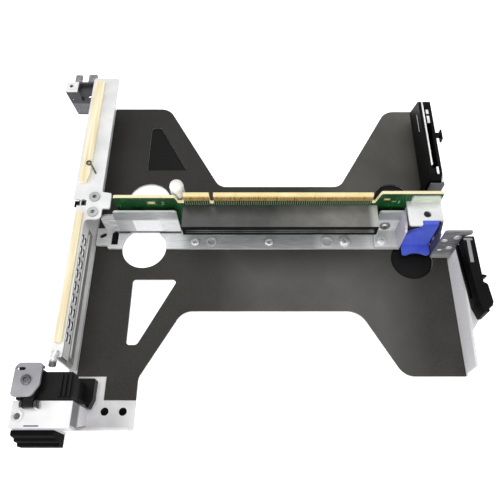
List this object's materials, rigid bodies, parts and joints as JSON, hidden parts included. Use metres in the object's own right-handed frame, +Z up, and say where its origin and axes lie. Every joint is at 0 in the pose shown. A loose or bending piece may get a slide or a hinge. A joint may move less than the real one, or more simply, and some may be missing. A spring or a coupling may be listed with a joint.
{
  "type": "riser card",
  "caption": "Server riser card: a sheet-metal cage with an upright circuit board, a long card slot, gold edge contacts, card holders and a blue release latch.",
  "frame": {"origin": "on the underside of the cage plate, below the mid-plane of the riser board and the key notch of its edge contacts", "axes": "+X along the board away from the rear wall, +Y through the board away from the latch, +Z up out of the cage; the part lies on its flat plate as in the picture"},
  "size_m": [0.1971, 0.1836, 0.032],
  "materials": {
    "bare_steel": "satin zinc-plated sheet",
    "film": "dark grey insulating film",
    "gasket": "cream conductive fabric over foam",
    "screw_steel": "plain steel",
    "board_green": "green solder mask",
    "gold": "gold plate",
    "connector": "black moulded",
    "white_plastic": "white moulded pin",
    "dark_steel": "dark grey steel",
    "blue_plastic": "blue moulded",
    "black_plastic": "black moulded",
    "spring_steel": "spring steel",
    "foam": "black foam"
  },
  "bodies": {
    "cage": {"cage_plate": "bare_steel", "insulator_film": "film", "hole_covers": "film", "slot_frame": "bare_steel", "wall_rivets": "screw_steel", "near_filler": "bare_steel", "far_filler": "bare_steel", "near_gasket": "gasket", "far_gasket": "gasket", "board_bracket": "bare_steel", "spine_rivets": "screw_steel", "foot_screws": "screw_steel", "board_standoffs": "screw_steel", "board_screws": "screw_steel", "riser_board": "board_green", "edge_contacts": "gold", "front_slot": "connector", "guide_pin": "white_plastic", "locating_post": "screw_steel", "latch_bracket": "bare_steel", "release_latch_pin": "screw_steel", "release_latch_spring": "spring_steel", "near_card_holder": "black_plastic", "near_holder_spring": "spring_steel", "far_card_holder": "black_plastic", "far_holder_spring": "spring_steel", "corner_hook": "dark_steel", "front_corner_bracket": "bare_steel", "card_latch_pin": "screw_steel", "latch_base": "black_plastic", "foam_pad": "foam"},
    "card_latch": {"card_latch": "black_plastic", "latch_clamp": "bare_steel", "latch_screw": "screw_steel"},
    "release_latch": {"release_latch": "blue_plastic"}
  },
  "joints": [
    {"name": "card_latch_hinge", "type": "hinge", "parent": "cage", "child": "card_latch", "pos_m": [-0.067, -0.0902, 0.0233], "axis": [1, 0, 0], "range_deg": [0, 85]},
    {"name": "release_latch_hinge", "type": "hinge", "parent": "cage", "child": "release_latch", "pos_m": [0.098, -0.0084, 0.0206], "axis": [1, 0, 0], "range_deg": [0, 10], "stiffness_Nm_per_rad": 0.02, "springref_deg": -5.73}
  ]
}
